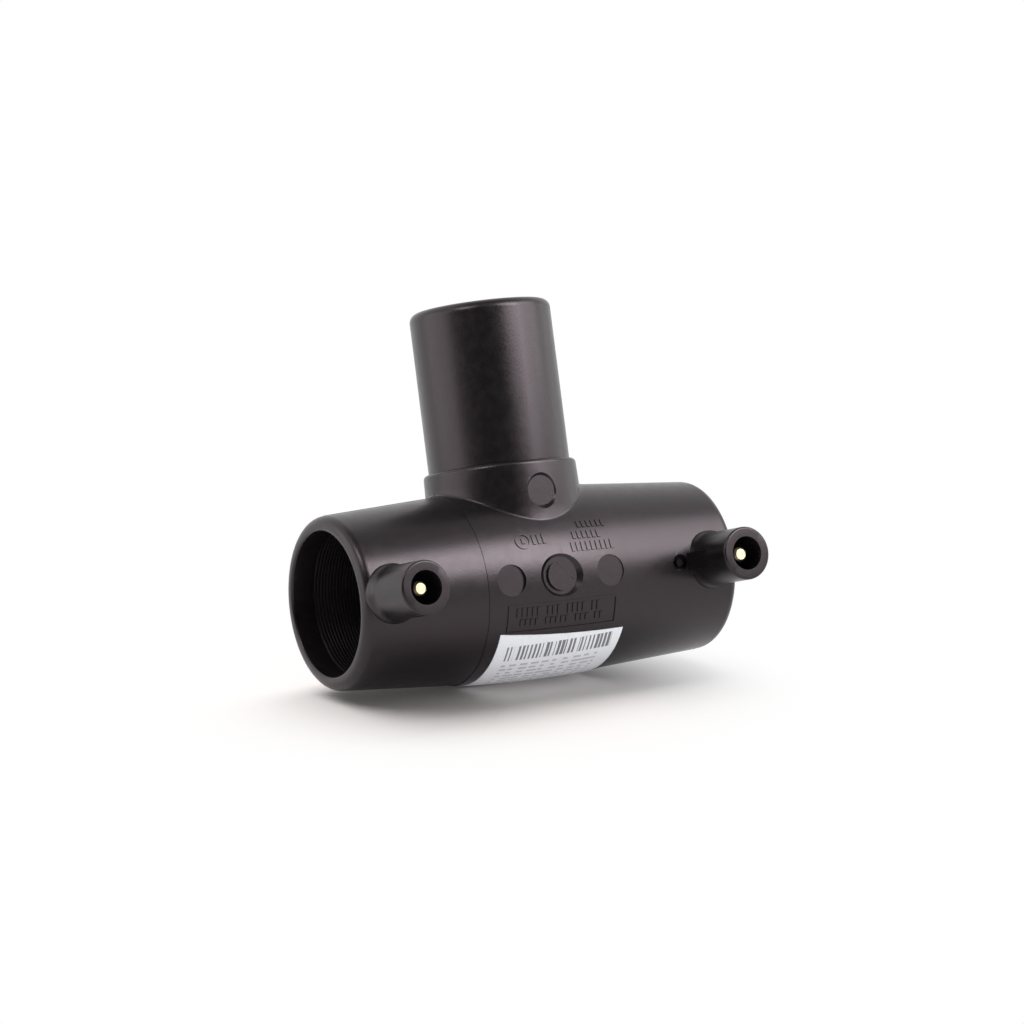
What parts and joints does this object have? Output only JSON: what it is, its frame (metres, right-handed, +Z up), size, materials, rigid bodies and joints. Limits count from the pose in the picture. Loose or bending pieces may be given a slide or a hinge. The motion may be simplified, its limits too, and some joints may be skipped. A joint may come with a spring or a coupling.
{
  "type": "electrofusion tee",
  "caption": "Black polyethylene tee with fusion sockets in line, a plain spigot branch and shrouded terminal pins.",
  "frame": {"origin": "where the axis of the run crosses the axis of the branch", "axes": "+X along the run to the right, -Y the way the terminals point, +Z up the branch"},
  "size_m": [0.12, 0.0699, 0.1064],
  "materials": {
    "polyethylene": "satin, as moulded",
    "coated_wire": "satin, ridged turn by turn",
    "pin_brass": "turned, bright",
    "label_paper": "matte, printed with grey bars"
  },
  "bodies": {
    "root": {"tee_body": "polyethylene", "heating_coil": "coated_wire", "left_terminal_pin": "pin_brass", "right_terminal_pin": "pin_brass", "label": "label_paper"}
  },
  "joints": []
}
